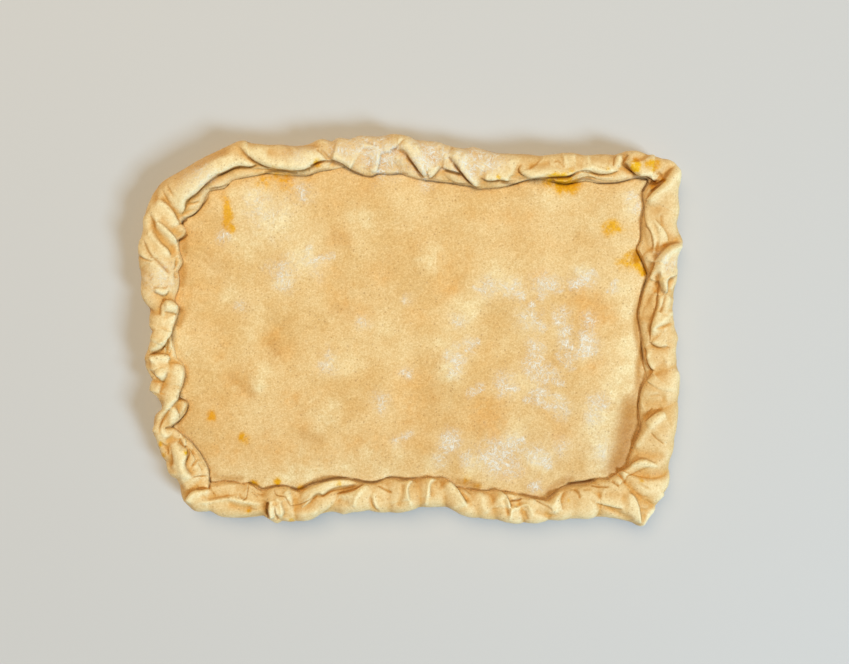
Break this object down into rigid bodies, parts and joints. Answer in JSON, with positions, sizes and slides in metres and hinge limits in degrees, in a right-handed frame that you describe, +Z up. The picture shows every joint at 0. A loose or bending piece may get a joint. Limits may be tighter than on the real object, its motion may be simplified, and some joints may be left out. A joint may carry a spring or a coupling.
{
  "type": "empanada",
  "caption": "Raw rectangular empanada: a flat parcel of pale dough with a lumpy, floured lid, sealed all round by a hand-pleated rope rim, before baking.",
  "frame": {"origin": "middle of the flat underside, on the surface the empanada lies on", "axes": "+X along the long sides, +Y along the short sides, +Z up through the lid"},
  "size_m": [0.3344, 0.2394, 0.0238],
  "materials": {
    "dough": null
  },
  "bodies": {
    "root": {"empanada": "dough"}
  },
  "joints": []
}
